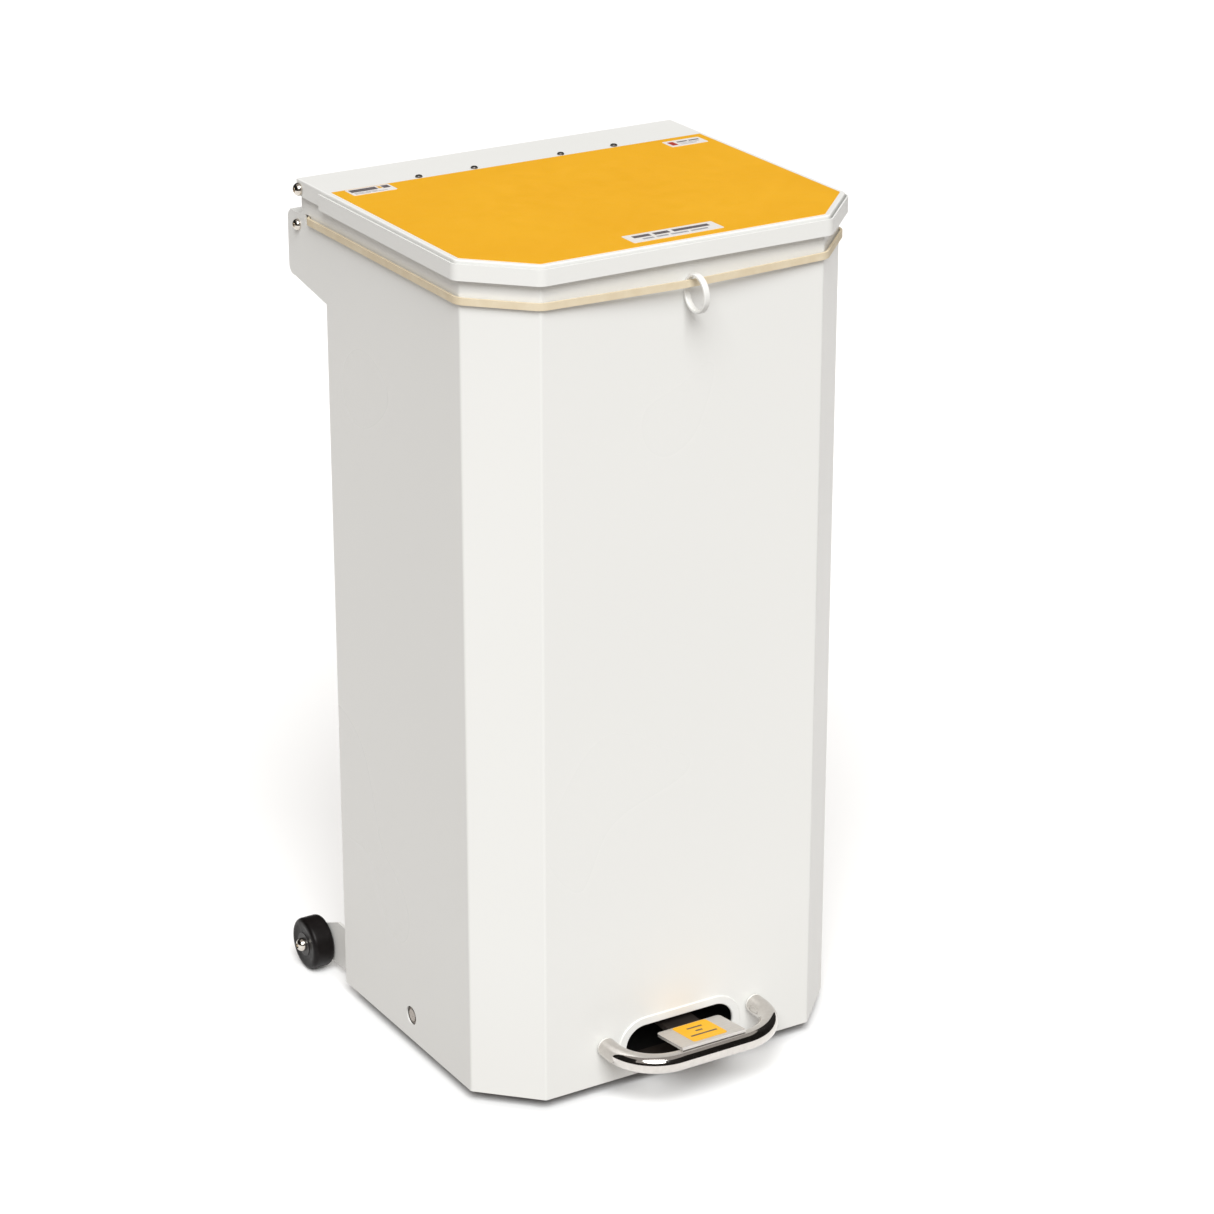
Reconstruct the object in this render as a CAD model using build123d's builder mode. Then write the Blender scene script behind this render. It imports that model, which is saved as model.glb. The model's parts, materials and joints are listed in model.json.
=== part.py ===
"""Hospital pedal bin: white sheet-steel body, yellow-topped lid worked by a foot pedal and a push rod.

Frame: millimetres, +Z up, +X to the right of someone facing the front, front towards -Y.
The origin is at the middle of the footprint, on the floor.
"""
import math
import os

from build123d import *

# ---------------------------------------------------------------- driving dimensions
BODY_WIDTH = 400.0
BODY_DEPTH = 308.0
FRONT_CHAMFER = 52.0
BODY_CORNER_RADIUS = 4.0
SHEET = 1.5
FIT_GAP = 0.1
WELD_GAP = 0.05

FOOT_HEIGHT = 12.0
FOOT_RADIUS = 15.0
FOOT_INSET_X = 150.0
FOOT_FRONT = 62.0
FOOT_REAR = 262.0

BODY_HEIGHT = 802.0
LID_TOP = 822.0

PEDAL_REACH = 60.0
PEDAL_HALF_WIDTH = 83.5
PEDAL_BEND_RADIUS = 46.0
PEDAL_TUBE_RADIUS = 9.6

WHEEL_RADIUS = 26.5
WHEEL_WIDTH = 23.0
WHEEL_LIFT = 0.8
WHEEL_OUTER_X = 213.0
WHEEL_BEHIND_FRONT = 376.0

# ---------------------------------------------------------------- derived places
HALF_WIDTH = BODY_WIDTH / 2
PEDAL_FRONT = -PEDAL_REACH - PEDAL_TUBE_RADIUS
WHEEL_REAR = WHEEL_BEHIND_FRONT + WHEEL_RADIUS
FRONT_Y = -(PEDAL_FRONT + WHEEL_REAR) / 2
REAR_Y = FRONT_Y + BODY_DEPTH
BOTTOM_Z = FOOT_HEIGHT
TOP_Z = BOTTOM_Z + BODY_HEIGHT
LID_TOP_Z = BOTTOM_Z + LID_TOP

# pedal slot in the front panel, and the pressed trim round it
SLOT_WIDTH = 120.0
SLOT_HEIGHT = 41.0
SLOT_Z = BOTTOM_Z + 29.5
BEZEL_MARGIN = 8.5
BEZEL_THICKNESS = 1.4

# pedal lever, all at the height of its own cross axle or just above it
AXLE_Y = FRONT_Y + 170.0
AXLE_Z = BOTTOM_Z + 26.0
AXLE_RADIUS = 6.0
AXLE_HOLE_RADIUS = 9.5
PIVOT_TUBE_RADIUS = 12.0
PIVOT_TUBE_HALF_LENGTH = 60.0
ARM_BOTTOM_Z = AXLE_Z + PIVOT_TUBE_RADIUS
ARM_THICKNESS = 5.0
ARM_TOP_Z = ARM_BOTTOM_Z + ARM_THICKNESS
ARM_HALF_WIDTH = 18.0
TREAD_THICKNESS = 3.0
TREAD_HALF_WIDTH = 35.4
TREAD_LENGTH = 47.3
TREAD_TILT = 7.6
TREAD_FRONT = -61.2
TREAD_FRONT_TOP = 52.95
TREAD_CORNER_RADIUS = 4.0
TREAD_FOOT_REAR = -15.5
TREAD_FOOT_LENGTH = 8.5
TREAD_FOOT_HEIGHT = 2.1
PEDAL_LABEL_SIZE = (38.0, 41.0)
PEDAL_LABEL_BACK = 5.4
PEDAL_LABEL_CORNER = 3.0
PEDAL_BAR_Z = BOTTOM_Z + 40.0
PEDAL_BAR_END = -4.0
PLUG_END = -1.6

# lid hinge, lid crank and push rod
HINGE_Y = FRONT_Y + 347.0
HINGE_Z = BOTTOM_Z + 812.4
CRANK_RADIUS = 18.0
CRANK_HALF_SWING = 35.0
CRANK_PIN_RADIUS = 3.0
CRANK_PIN_Y = HINGE_Y - CRANK_RADIUS * math.cos(math.radians(CRANK_HALF_SWING))
CRANK_PIN_Z = HINGE_Z - CRANK_RADIUS * math.sin(math.radians(CRANK_HALF_SWING))
CRANK_PIN_DRIFT = CRANK_RADIUS - CRANK_RADIUS * math.cos(math.radians(CRANK_HALF_SWING))
ROD_Y = CRANK_PIN_Y - CRANK_PIN_DRIFT / 2
ROD_RADIUS = 4.0
ROD_FOOT_RADIUS = 6.0
ROD_FOOT_GAP = 0.4
ROD_SLOT_CLEARANCE = 0.6
RUNNING_CLEARANCE = 0.08

# lid
PLATE_GROW = 4.9
RIM_GROW = 8.0
RIM_INNER_GROW = 6.5
RIM_TOP = 818.6
RIM_BOTTOM = 803.5
RIM_REAR = 303.0
RIM_FLANGE_GROW = -8.0
SKIRT_BOTTOM = 805.6
LID_PLATE_TOP = 821.6
LID_PLATE_REAR = 353.0
YELLOW_REAR = 291.5
LABEL_THICKNESS = 0.25

# rear housing
HOUSING_REAR = 384.0
HOUSING_BOTTOM = 710.0
HOUSING_TOP = 800.0
HOUSING_STEP = 789.0
TAB_RADIUS = 6.5
SPREADER_Y = FRONT_Y + 362.0
SPREADER_Z = BOTTOM_Z + 774.0
SPREADER_RADIUS = 7.5

# rubber band and its pull ring
BAND_Z = BOTTOM_Z + 783.5
BAND_HEIGHT = 6.6
BAND_THICKNESS = 2.4
BAND_GROW = 2.7
BAND_CORNER_RADIUS = 16.0
RING_RADIUS = 18.0
RING_HOLE_RADIUS = 15.0
RING_HALF_WIDTH = 3.0
BAND_AT_RING = -10.0
RING_OFFSET_Y = -8.4
RING_OFFSET_Z = -7.4

CHAMFER_OFFSET = math.tan(math.radians(22.5))


def plan_points(grow, rear):
    """Corners of the body's plan, grown outwards by so much, with its back edge at rear."""
    side = HALF_WIDTH + grow
    shoulder = FRONT_Y + FRONT_CHAMFER - CHAMFER_OFFSET * grow
    nose = HALF_WIDTH - FRONT_CHAMFER + CHAMFER_OFFSET * grow
    front = FRONT_Y - grow
    back = FRONT_Y + rear
    return [(-side, back), (-side, shoulder), (-nose, front), (nose, front), (side, shoulder), (side, back)]


def plan_face(grow, rear):
    """The body's plan as a face, with its front corners rounded."""
    radius = max(BODY_CORNER_RADIUS + grow, 1.0)
    with BuildSketch(mode=Mode.PRIVATE) as plan:
        with BuildLine():
            Polyline(*plan_points(grow, rear), close=True)
        make_face()
        front_corners = plan.vertices().filter_by(lambda v: v.Y < FRONT_Y + rear / 2)
        fillet(front_corners, radius)
    return plan.sketch


def front_plane(height):
    """Plane on the front panel, looking out of it, centred at this height."""
    return Plane(origin=(0, FRONT_Y, height), x_dir=(1, 0, 0), z_dir=(0, -1, 0))


def side_plane(x, y, z):
    """Plane across X, with its own x along +Y and its own y along +Z."""
    return Plane(origin=(x, y, z), x_dir=(0, 1, 0), z_dir=(1, 0, 0))


def side_point(back, up):
    """Point of a side view: so far behind the front panel, so far above the body's bottom."""
    return (FRONT_Y + back, BOTTOM_Z + up)


# ---------------------------------------------------------------- body
with BuildPart() as body_shell:
    with BuildSketch(Plane.XY.offset(BOTTOM_Z)):
        add(plan_face(0, BODY_DEPTH))
        add(plan_face(-SHEET, BODY_DEPTH + SHEET), mode=Mode.SUBTRACT)
    extrude(amount=BODY_HEIGHT)
    with BuildSketch(front_plane(SLOT_Z)):
        SlotOverall(SLOT_WIDTH, SLOT_HEIGHT)
    extrude(amount=2 * SHEET, both=True, mode=Mode.SUBTRACT)
    with BuildSketch(side_plane(0, AXLE_Y, AXLE_Z)):
        Circle(AXLE_HOLE_RADIUS)
    extrude(amount=HALF_WIDTH + SHEET, both=True, mode=Mode.SUBTRACT)

BACK_SLOT_HALF_WIDTH = 24.0
BACK_SLOT_LOW = BOTTOM_Z + 20.0
BACK_SLOT_HIGH = BOTTOM_Z + 74.0
with BuildPart() as back_panel:
    with BuildSketch(Plane.XY.offset(BOTTOM_Z)):
        with Locations((0, REAR_Y - SHEET / 2)):
            Rectangle(BODY_WIDTH - 2 * SHEET - 2 * FIT_GAP, SHEET)
    extrude(amount=BODY_HEIGHT)
    with Locations((0, REAR_Y, (BACK_SLOT_LOW + BACK_SLOT_HIGH) / 2)):
        Box(2 * BACK_SLOT_HALF_WIDTH, 4 * SHEET, BACK_SLOT_HIGH - BACK_SLOT_LOW, mode=Mode.SUBTRACT)

FLOOR_PAN_HEIGHT = 72.0
with BuildPart() as floor_pan:
    with BuildSketch(Plane.XY.offset(BOTTOM_Z + FLOOR_PAN_HEIGHT)):
        add(plan_face(-SHEET - FIT_GAP, BODY_DEPTH - SHEET - FIT_GAP))
    extrude(amount=SHEET)

BASE_RING_WIDTH = 34.0
BASE_RING_THICKNESS = 2.0
with BuildPart() as base_ring:
    with BuildSketch(Plane.XY.offset(BOTTOM_Z)):
        add(plan_face(-SHEET - FIT_GAP, BODY_DEPTH - SHEET - FIT_GAP))
        add(plan_face(-BASE_RING_WIDTH, BODY_DEPTH - BASE_RING_WIDTH), mode=Mode.SUBTRACT)
    extrude(amount=BASE_RING_THICKNESS)

BAG_RIM_HEIGHT = 14.0
BAG_RIM_WIDTH = 5.0
with BuildPart() as bag_rim:
    with BuildSketch(Plane.XY.offset(TOP_Z - BAG_RIM_HEIGHT)):
        add(plan_face(-SHEET - FIT_GAP, BODY_DEPTH - SHEET - FIT_GAP))
        add(plan_face(-BAG_RIM_WIDTH, BODY_DEPTH - BAG_RIM_WIDTH), mode=Mode.SUBTRACT)
    extrude(amount=BAG_RIM_HEIGHT)

with BuildPart() as slot_trim:
    with BuildSketch(front_plane(SLOT_Z)):
        SlotOverall(SLOT_WIDTH + 2 * BEZEL_MARGIN, SLOT_HEIGHT + 2 * BEZEL_MARGIN)
        SlotOverall(SLOT_WIDTH, SLOT_HEIGHT, mode=Mode.SUBTRACT)
    extrude(amount=BEZEL_THICKNESS)
    chamfer(slot_trim.faces().sort_by(Axis.Y)[0].edges(), BEZEL_THICKNESS / 2)

with BuildPart() as feet:
    with BuildSketch(Plane.XY):
        with Locations(
            (-FOOT_INSET_X, FRONT_Y + FOOT_FRONT),
            (FOOT_INSET_X, FRONT_Y + FOOT_FRONT),
            (-FOOT_INSET_X, FRONT_Y + FOOT_REAR),
            (FOOT_INSET_X, FRONT_Y + FOOT_REAR),
        ):
            Circle(FOOT_RADIUS)
    extrude(amount=FOOT_HEIGHT)
    chamfer(feet.faces().filter_by(Axis.Z).group_by(Axis.Z)[0].edges(), 1.5)

BUFFER_RADIUS = 1.6
BUFFER_HEIGHT = RIM_BOTTOM - BODY_HEIGHT - FIT_GAP
BUFFER_X = HALF_WIDTH - FRONT_CHAMFER - 20.0
BUFFER_Y = FRONT_Y + (SHEET + BAG_RIM_WIDTH) / 2
with BuildPart() as lid_buffers:
    with Locations((-BUFFER_X, BUFFER_Y, TOP_Z), (BUFFER_X, BUFFER_Y, TOP_Z)):
        Cylinder(BUFFER_RADIUS, BUFFER_HEIGHT, align=(Align.CENTER, Align.CENTER, Align.MIN))

# ---------------------------------------------------------------- rear housing
TIE_HOLE_RADIUS = 3.1
BAND_SLOT_FRONT = 335.0
BAND_SLOT_REAR = 347.0
FLANGE_REACH = 16.0


TAB_REAR = 353.5
STEP_REAR = 361.0
HINGE_BACK = 347.0
HOUSING_SHOULDER = 813.5
HOUSING_LEDGE = 785.0
HOUSING_SLOPE_TOP = 721.5
HOUSING_SLOPE_REAR = 372.0
HOUSING_CORNER_RADIUS = 9.0
TAB_ROOT_HEIGHT = 14.0
HOUSING_FLANGE_Z = BOTTOM_Z + 752.0
HOUSING_FLANGE_HEIGHT = 76.0


def housing_side(sign):
    """One side plate of the rear housing, flush with the body's side, with its hinge tab on top."""
    outer = sign * HALF_WIDTH
    with BuildPart(mode=Mode.PRIVATE) as plate:
        with BuildSketch(side_plane(outer, 0, 0)) as outline:
            with BuildLine():
                Polyline(
                    side_point(BODY_DEPTH + WELD_GAP, HOUSING_BOTTOM),
                    side_point(BODY_DEPTH + WELD_GAP, HOUSING_SHOULDER),
                    side_point(TAB_REAR, HOUSING_SHOULDER),
                    side_point(TAB_REAR, HOUSING_STEP),
                    side_point(STEP_REAR, HOUSING_LEDGE),
                    side_point(HOUSING_REAR, HOUSING_LEDGE),
                    side_point(HOUSING_REAR, HOUSING_SLOPE_TOP),
                    side_point(HOUSING_SLOPE_REAR, HOUSING_SLOPE_TOP),
                    close=True,
                )
            make_face()
            rear_corners = outline.vertices().filter_by(lambda v: v.X > FRONT_Y + HOUSING_REAR - 1)
            fillet(rear_corners, HOUSING_CORNER_RADIUS)
            with Locations(side_point(HINGE_BACK, HOUSING_SHOULDER - TAB_ROOT_HEIGHT / 2)):
                Rectangle(2 * TAB_RADIUS, TAB_ROOT_HEIGHT)
            with Locations((HINGE_Y, HINGE_Z)):
                Circle(TAB_RADIUS)
            with Locations((HINGE_Y, HINGE_Z), (SPREADER_Y, SPREADER_Z)):
                Circle(TIE_HOLE_RADIUS, mode=Mode.SUBTRACT)
            with Locations((FRONT_Y + (BAND_SLOT_FRONT + BAND_SLOT_REAR) / 2, BAND_Z)):
                Rectangle(BAND_SLOT_REAR - BAND_SLOT_FRONT, BAND_HEIGHT + 2.4, mode=Mode.SUBTRACT)
        extrude(amount=-sign * SHEET)
        flange_x = sign * (HALF_WIDTH - SHEET - FLANGE_REACH / 2)
        with Locations((flange_x, REAR_Y + WELD_GAP + SHEET / 2, HOUSING_FLANGE_Z)):
            Box(FLANGE_REACH, SHEET, HOUSING_FLANGE_HEIGHT)
    return plate.part


with BuildPart() as left_housing_plate:
    add(housing_side(-1))

with BuildPart() as right_housing_plate:
    add(housing_side(1))

ROD_COVER_HALF_WIDTH = 22.0
ROD_COVER_DEPTH = 37.0
COVER_HALF_WIDTH = HALF_WIDTH - SHEET - FIT_GAP
with BuildPart() as housing_cover:
    with BuildSketch(side_plane(0, 0, 0)):
        with BuildLine():
            FilletPolyline(
                side_point(355.5, 787.4),
                side_point(361.5, 783.9),
                side_point(382.0, 783.9),
                side_point(382.0, 723.6),
                side_point(371.0, 723.6),
                side_point(313.0, 713.2),
                radius=2.2,
            )
        trace(line_width=SHEET)
    extrude(amount=COVER_HALF_WIDTH, both=True)
    with Locations((0, REAR_Y + ROD_COVER_DEPTH / 2, BOTTOM_Z + 712.0)):
        Box(2 * ROD_COVER_HALF_WIDTH, ROD_COVER_DEPTH + 2, 20.0, mode=Mode.SUBTRACT)

ROD_COVER_LOW = BOTTOM_Z + 50.0
ROD_COVER_HIGH = BOTTOM_Z + 711.0
ROD_COVER_FLANGE = 12.0
with BuildPart() as rod_cover:
    with BuildSketch(Plane.XY.offset(ROD_COVER_LOW)):
        with Locations((0, REAR_Y + WELD_GAP + ROD_COVER_DEPTH / 2)):
            Rectangle(2 * ROD_COVER_HALF_WIDTH - 2 * FIT_GAP, ROD_COVER_DEPTH)
        with Locations((0, REAR_Y + (ROD_COVER_DEPTH - SHEET) / 2)):
            Rectangle(2 * ROD_COVER_HALF_WIDTH - 2 * SHEET, ROD_COVER_DEPTH - SHEET, mode=Mode.SUBTRACT)
    extrude(amount=ROD_COVER_HIGH - ROD_COVER_LOW)
    for side in (-1, 1):
        flange_x = side * (ROD_COVER_HALF_WIDTH + ROD_COVER_FLANGE / 2 - 0.5)
        with Locations((flange_x, REAR_Y + WELD_GAP + SHEET / 2, (ROD_COVER_LOW + ROD_COVER_HIGH) / 2 - 4)):
            Box(ROD_COVER_FLANGE, SHEET, ROD_COVER_HIGH - ROD_COVER_LOW - 12)

with BuildPart() as spreader_bar:
    with BuildSketch(side_plane(0, SPREADER_Y, SPREADER_Z)):
        Circle(SPREADER_RADIUS)
        Circle(TIE_HOLE_RADIUS, mode=Mode.SUBTRACT)
    extrude(amount=COVER_HALF_WIDTH, both=True)

SCREW_RADIUS = 3.0
SCREW_HEAD_RADIUS = 6.2
SCREW_HEAD_HEIGHT = 5.0
SPREADER_SCREW_LENGTH = 20.0


def domed_head(x, y, z, sign, radius, height):
    """Domed head of a screw, standing out along X from x."""
    with BuildPart(mode=Mode.PRIVATE) as head:
        with BuildSketch(side_plane(x, y, z)):
            Circle(radius)
        extrude(amount=sign * height)
        fillet(head.edges().filter_by(GeomType.CIRCLE).sort_by(Axis.X)[0 if sign < 0 else -1], height * 0.85)
        with BuildSketch(side_plane(x + sign * height, y, z)):
            RegularPolygon(radius * 0.42, 6)
        extrude(amount=-sign * height * 0.45, mode=Mode.SUBTRACT)
    return head.part


with BuildPart() as spreader_screws:
    for side in (-1, 1):
        add(domed_head(side * HALF_WIDTH, SPREADER_Y, SPREADER_Z, side, SCREW_HEAD_RADIUS - 0.6, SCREW_HEAD_HEIGHT))
        with BuildSketch(side_plane(side * HALF_WIDTH, SPREADER_Y, SPREADER_Z)):
            Circle(SCREW_RADIUS)
        extrude(amount=-side * SPREADER_SCREW_LENGTH)

# ---------------------------------------------------------------- lid hinge
EAR_OUTER = HALF_WIDTH + PLATE_GROW
HINGE_HEAD_X = EAR_OUTER + 0.3
HINGE_SHANK_END = HALF_WIDTH - SHEET - 9.0
with BuildPart() as hinge_screws:
    for side in (-1, 1):
        add(domed_head(side * HINGE_HEAD_X, HINGE_Y, HINGE_Z, side, SCREW_HEAD_RADIUS, SCREW_HEAD_HEIGHT + 0.6))
        with BuildSketch(side_plane(side * HINGE_HEAD_X, HINGE_Y, HINGE_Z)):
            Circle(SCREW_RADIUS)
        extrude(amount=-side * (HINGE_HEAD_X - HINGE_SHANK_END))

with BuildPart() as hinge_spacers:
    for side in (-1, 1):
        with BuildSketch(side_plane(side * (HALF_WIDTH + WELD_GAP), HINGE_Y, HINGE_Z)):
            Circle(TAB_RADIUS - 0.5)
            Circle(SCREW_RADIUS + RUNNING_CLEARANCE, mode=Mode.SUBTRACT)
        extrude(amount=side * (PLATE_GROW - SHEET - 0.4))

NUT_RADIUS = 5.4
NUT_THICKNESS = 5.0
with BuildPart() as hinge_nuts:
    for side in (-1, 1):
        with BuildSketch(side_plane(side * (HALF_WIDTH - SHEET - WELD_GAP), HINGE_Y, HINGE_Z)):
            RegularPolygon(NUT_RADIUS, 6)
            Circle(SCREW_RADIUS + WELD_GAP, mode=Mode.SUBTRACT)
        extrude(amount=-side * NUT_THICKNESS)

# ---------------------------------------------------------------- lid
with BuildPart() as lid_plate:
    with BuildSketch(Plane.XY.offset(BOTTOM_Z + SKIRT_BOTTOM)):
        add(plan_face(PLATE_GROW, LID_PLATE_REAR))
    extrude(amount=LID_PLATE_TOP - SKIRT_BOTTOM)
    top_edges = lid_plate.faces().sort_by(Axis.Z)[-1].edges()
    fillet(top_edges, 1.2)
    with BuildSketch(Plane.XY.offset(BOTTOM_Z + SKIRT_BOTTOM)):
        add(plan_face(PLATE_GROW - SHEET, LID_PLATE_REAR + 5))
    extrude(amount=LID_PLATE_TOP - SKIRT_BOTTOM - SHEET, mode=Mode.SUBTRACT)
    with BuildSketch(side_plane(0, 0, 0)):
        with BuildLine():
            Polyline(
                side_point(341.5, SKIRT_BOTTOM - 1),
                side_point(LID_PLATE_REAR + 1, SKIRT_BOTTOM - 1),
                side_point(LID_PLATE_REAR + 1, 812.0),
                close=True,
            )
        make_face()
    extrude(amount=BODY_WIDTH, both=True, mode=Mode.SUBTRACT)
    with BuildSketch(side_plane(0, HINGE_Y, HINGE_Z)):
        Circle(SCREW_RADIUS + RUNNING_CLEARANCE)
    extrude(amount=BODY_WIDTH, both=True, mode=Mode.SUBTRACT)

with BuildPart() as lid_rim:
    with BuildSketch(Plane.XY.offset(BOTTOM_Z + RIM_BOTTOM)):
        add(plan_face(RIM_GROW, RIM_REAR))
        add(plan_face(RIM_INNER_GROW, RIM_REAR + 5), mode=Mode.SUBTRACT)
    extrude(amount=RIM_TOP - RIM_BOTTOM)
    with BuildSketch(Plane.XY.offset(BOTTOM_Z + RIM_BOTTOM)):
        add(plan_face(RIM_INNER_GROW + 0.5, RIM_REAR))
        add(plan_face(RIM_FLANGE_GROW, RIM_REAR + 5), mode=Mode.SUBTRACT)
    extrude(amount=SHEET)

with BuildPart() as lid_lining:
    with BuildSketch(Plane.XY.offset(BOTTOM_Z + RIM_BOTTOM + SHEET + FIT_GAP)):
        add(plan_face(PLATE_GROW - SHEET - 0.3, RIM_REAR))
    extrude(amount=1.2)

with BuildPart() as yellow_panel:
    with BuildSketch(Plane.XY.offset(BOTTOM_Z + LID_PLATE_TOP)):
        add(plan_face(0, YELLOW_REAR))
    extrude(amount=LID_TOP - LID_PLATE_TOP)

RIVET_PLACES = [(-106.0, 297.0), (-47.0, 297.0), (47.0, 297.0), (106.0, 297.0)]
with BuildPart() as lid_rivets:
    for across, back in RIVET_PLACES:
        with Locations((across, FRONT_Y + back, BOTTOM_Z + LID_PLATE_TOP)):
            Cylinder(3.4, 1.8, align=(Align.CENTER, Align.CENTER, Align.MIN))
    chamfer(lid_rivets.faces().filter_by(Axis.Z).group_by(Axis.Z)[-1].edges(), 0.8)


def lid_label(across, back, width, depth):
    """Thin printed label lying on the yellow panel."""
    with BuildPart(mode=Mode.PRIVATE) as label:
        with BuildSketch(Plane(origin=(across, FRONT_Y + back, LID_TOP_Z))):
            RectangleRounded(width, depth, 1.5)
        extrude(amount=LABEL_THICKNESS)
    return label.part


with BuildPart() as rear_left_label:
    add(lid_label(-165.0, 280.0, 45.0, 20.0))

with BuildPart() as rear_right_label:
    add(lid_label(171.0, 272.0, 41.0, 20.0))

with BuildPart() as front_label:
    add(lid_label(0.0, 21.5, 94.0, 23.0))

CHEEK_INNER = 6.0
CHEEK_THICKNESS = 2.5
CRANK_PLATE_THICKNESS = 2.0
LID_UNDERSIDE = LID_PLATE_TOP - SHEET - WELD_GAP
with BuildPart() as lid_crank:
    with Locations((0, FRONT_Y + 329.0, BOTTOM_Z + LID_UNDERSIDE - CRANK_PLATE_THICKNESS / 2)):
        Box(34.0, 34.0, CRANK_PLATE_THICKNESS)
    for side in (-1, 1):
        with BuildSketch(side_plane(side * CHEEK_INNER, 0, 0)):
            with BuildLine():
                Polyline(
                    side_point(314.0, LID_UNDERSIDE),
                    side_point(345.0, LID_UNDERSIDE),
                    side_point(339.0, 796.5),
                    side_point(325.5, 796.5),
                    close=True,
                )
            make_face()
            with Locations((CRANK_PIN_Y, CRANK_PIN_Z)):
                Circle(CRANK_PIN_RADIUS + WELD_GAP, mode=Mode.SUBTRACT)
        extrude(amount=side * CHEEK_THICKNESS)

CRANK_PIN_HALF_LENGTH = CHEEK_INNER + CHEEK_THICKNESS + 2.0
with BuildPart() as crank_pin:
    with BuildSketch(side_plane(0, CRANK_PIN_Y, CRANK_PIN_Z)):
        Circle(CRANK_PIN_RADIUS)
    extrude(amount=CRANK_PIN_HALF_LENGTH, both=True)

# ---------------------------------------------------------------- push rod
ROD_HEAD_HALF_WIDTH = 5.0
ROD_HEAD_HALF_DEPTH = 9.5
ROD_HEAD_HALF_HEIGHT = 7.5
ROD_SLOT_LENGTH = CRANK_PIN_DRIFT + 2 * (CRANK_PIN_RADIUS + ROD_SLOT_CLEARANCE)
ROD_SLOT_HEIGHT = 2 * (CRANK_PIN_RADIUS + ROD_SLOT_CLEARANCE)
with BuildPart() as rod_head:
    with Locations((0, ROD_Y, CRANK_PIN_Z)):
        Box(2 * ROD_HEAD_HALF_WIDTH, 2 * ROD_HEAD_HALF_DEPTH, 2 * ROD_HEAD_HALF_HEIGHT)
        Box(4 * ROD_HEAD_HALF_WIDTH, ROD_SLOT_LENGTH, ROD_SLOT_HEIGHT, mode=Mode.SUBTRACT)

ROD_TOP_Z = CRANK_PIN_Z - ROD_HEAD_HALF_HEIGHT - WELD_GAP
ROD_FOOT_Z = ARM_TOP_Z + ROD_FOOT_GAP
ROD_FOOT_LENGTH = 22.0
ROD_LOW_Z = ROD_FOOT_Z + ROD_FOOT_LENGTH + WELD_GAP
with BuildPart() as push_rod:
    with BuildSketch(Plane.XY.offset(ROD_LOW_Z)):
        with Locations((0, ROD_Y)):
            Circle(ROD_RADIUS)
    extrude(amount=ROD_TOP_Z - ROD_LOW_Z)

with BuildPart() as rod_foot:
    with Locations((0, ROD_Y, ROD_FOOT_Z)):
        Cylinder(ROD_FOOT_RADIUS, ROD_FOOT_LENGTH, align=(Align.CENTER, Align.CENTER, Align.MIN))
    fillet(rod_foot.edges().filter_by(GeomType.CIRCLE).sort_by(Axis.Z)[0], ROD_FOOT_RADIUS - 0.5)

GUIDE_HEIGHT = 12.0
GUIDE_LEVELS = [BOTTOM_Z + 130.0, BOTTOM_Z + 650.0]
GUIDE_DEPTH = 34.0
with BuildPart() as rod_guides:
    for level in GUIDE_LEVELS:
        with BuildSketch(Plane.XY.offset(level)):
            with Locations((0, REAR_Y + 0.2 + GUIDE_DEPTH / 2)):
                Rectangle(24.0, GUIDE_DEPTH)
            with Locations((0, ROD_Y)):
                Circle(ROD_RADIUS + RUNNING_CLEARANCE, mode=Mode.SUBTRACT)
        extrude(amount=GUIDE_HEIGHT)

# ---------------------------------------------------------------- pedal
TAIL_END = ROD_Y + 10.0
ARM_FRONT = FRONT_Y - 46.0
with BuildPart() as pedal_arm:
    with Locations((0, (ARM_FRONT + TAIL_END) / 2, (ARM_BOTTOM_Z + ARM_TOP_Z) / 2)):
        Box(2 * ARM_HALF_WIDTH, TAIL_END - ARM_FRONT, ARM_THICKNESS)
    fillet(pedal_arm.edges().filter_by(Axis.Z), 3.0)

# The tread slopes from the top of the foot bar down to the arm.
tread_plane = Plane(origin=(0, FRONT_Y + TREAD_FRONT, BOTTOM_Z + TREAD_FRONT_TOP)).rotated((-TREAD_TILT, 0, 0))
with BuildPart() as pedal_tread:
    with BuildSketch(tread_plane) as tread_outline:
        with Locations((0, TREAD_LENGTH / 2)):
            Rectangle(2 * TREAD_HALF_WIDTH, TREAD_LENGTH)
        fillet(tread_outline.vertices().group_by(Axis.Y)[-1], TREAD_CORNER_RADIUS)
    extrude(amount=-TREAD_THICKNESS)
    tread_foot_y = FRONT_Y + TREAD_FOOT_REAR - TREAD_FOOT_LENGTH / 2
    with Locations((0, tread_foot_y, ARM_TOP_Z + FIT_GAP + TREAD_FOOT_HEIGHT / 2)):
        Box(2 * ARM_HALF_WIDTH, TREAD_FOOT_LENGTH, TREAD_FOOT_HEIGHT)

with BuildPart() as pedal_label:
    with BuildSketch(tread_plane):
        with Locations((0, PEDAL_LABEL_BACK + PEDAL_LABEL_SIZE[1] / 2)):
            RectangleRounded(*PEDAL_LABEL_SIZE, PEDAL_LABEL_CORNER)
    extrude(amount=LABEL_THICKNESS)

with BuildPart() as pedal_bar:
    with BuildLine() as bar_path:
        FilletPolyline(
            (-PEDAL_HALF_WIDTH, FRONT_Y + PEDAL_BAR_END, PEDAL_BAR_Z),
            (-PEDAL_HALF_WIDTH, FRONT_Y - PEDAL_REACH, PEDAL_BAR_Z),
            (PEDAL_HALF_WIDTH, FRONT_Y - PEDAL_REACH, PEDAL_BAR_Z),
            (PEDAL_HALF_WIDTH, FRONT_Y + PEDAL_BAR_END, PEDAL_BAR_Z),
            radius=PEDAL_BEND_RADIUS,
        )
    with BuildSketch(Plane(origin=bar_path.line @ 0, z_dir=bar_path.line % 0)):
        Circle(PEDAL_TUBE_RADIUS)
    sweep()

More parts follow.
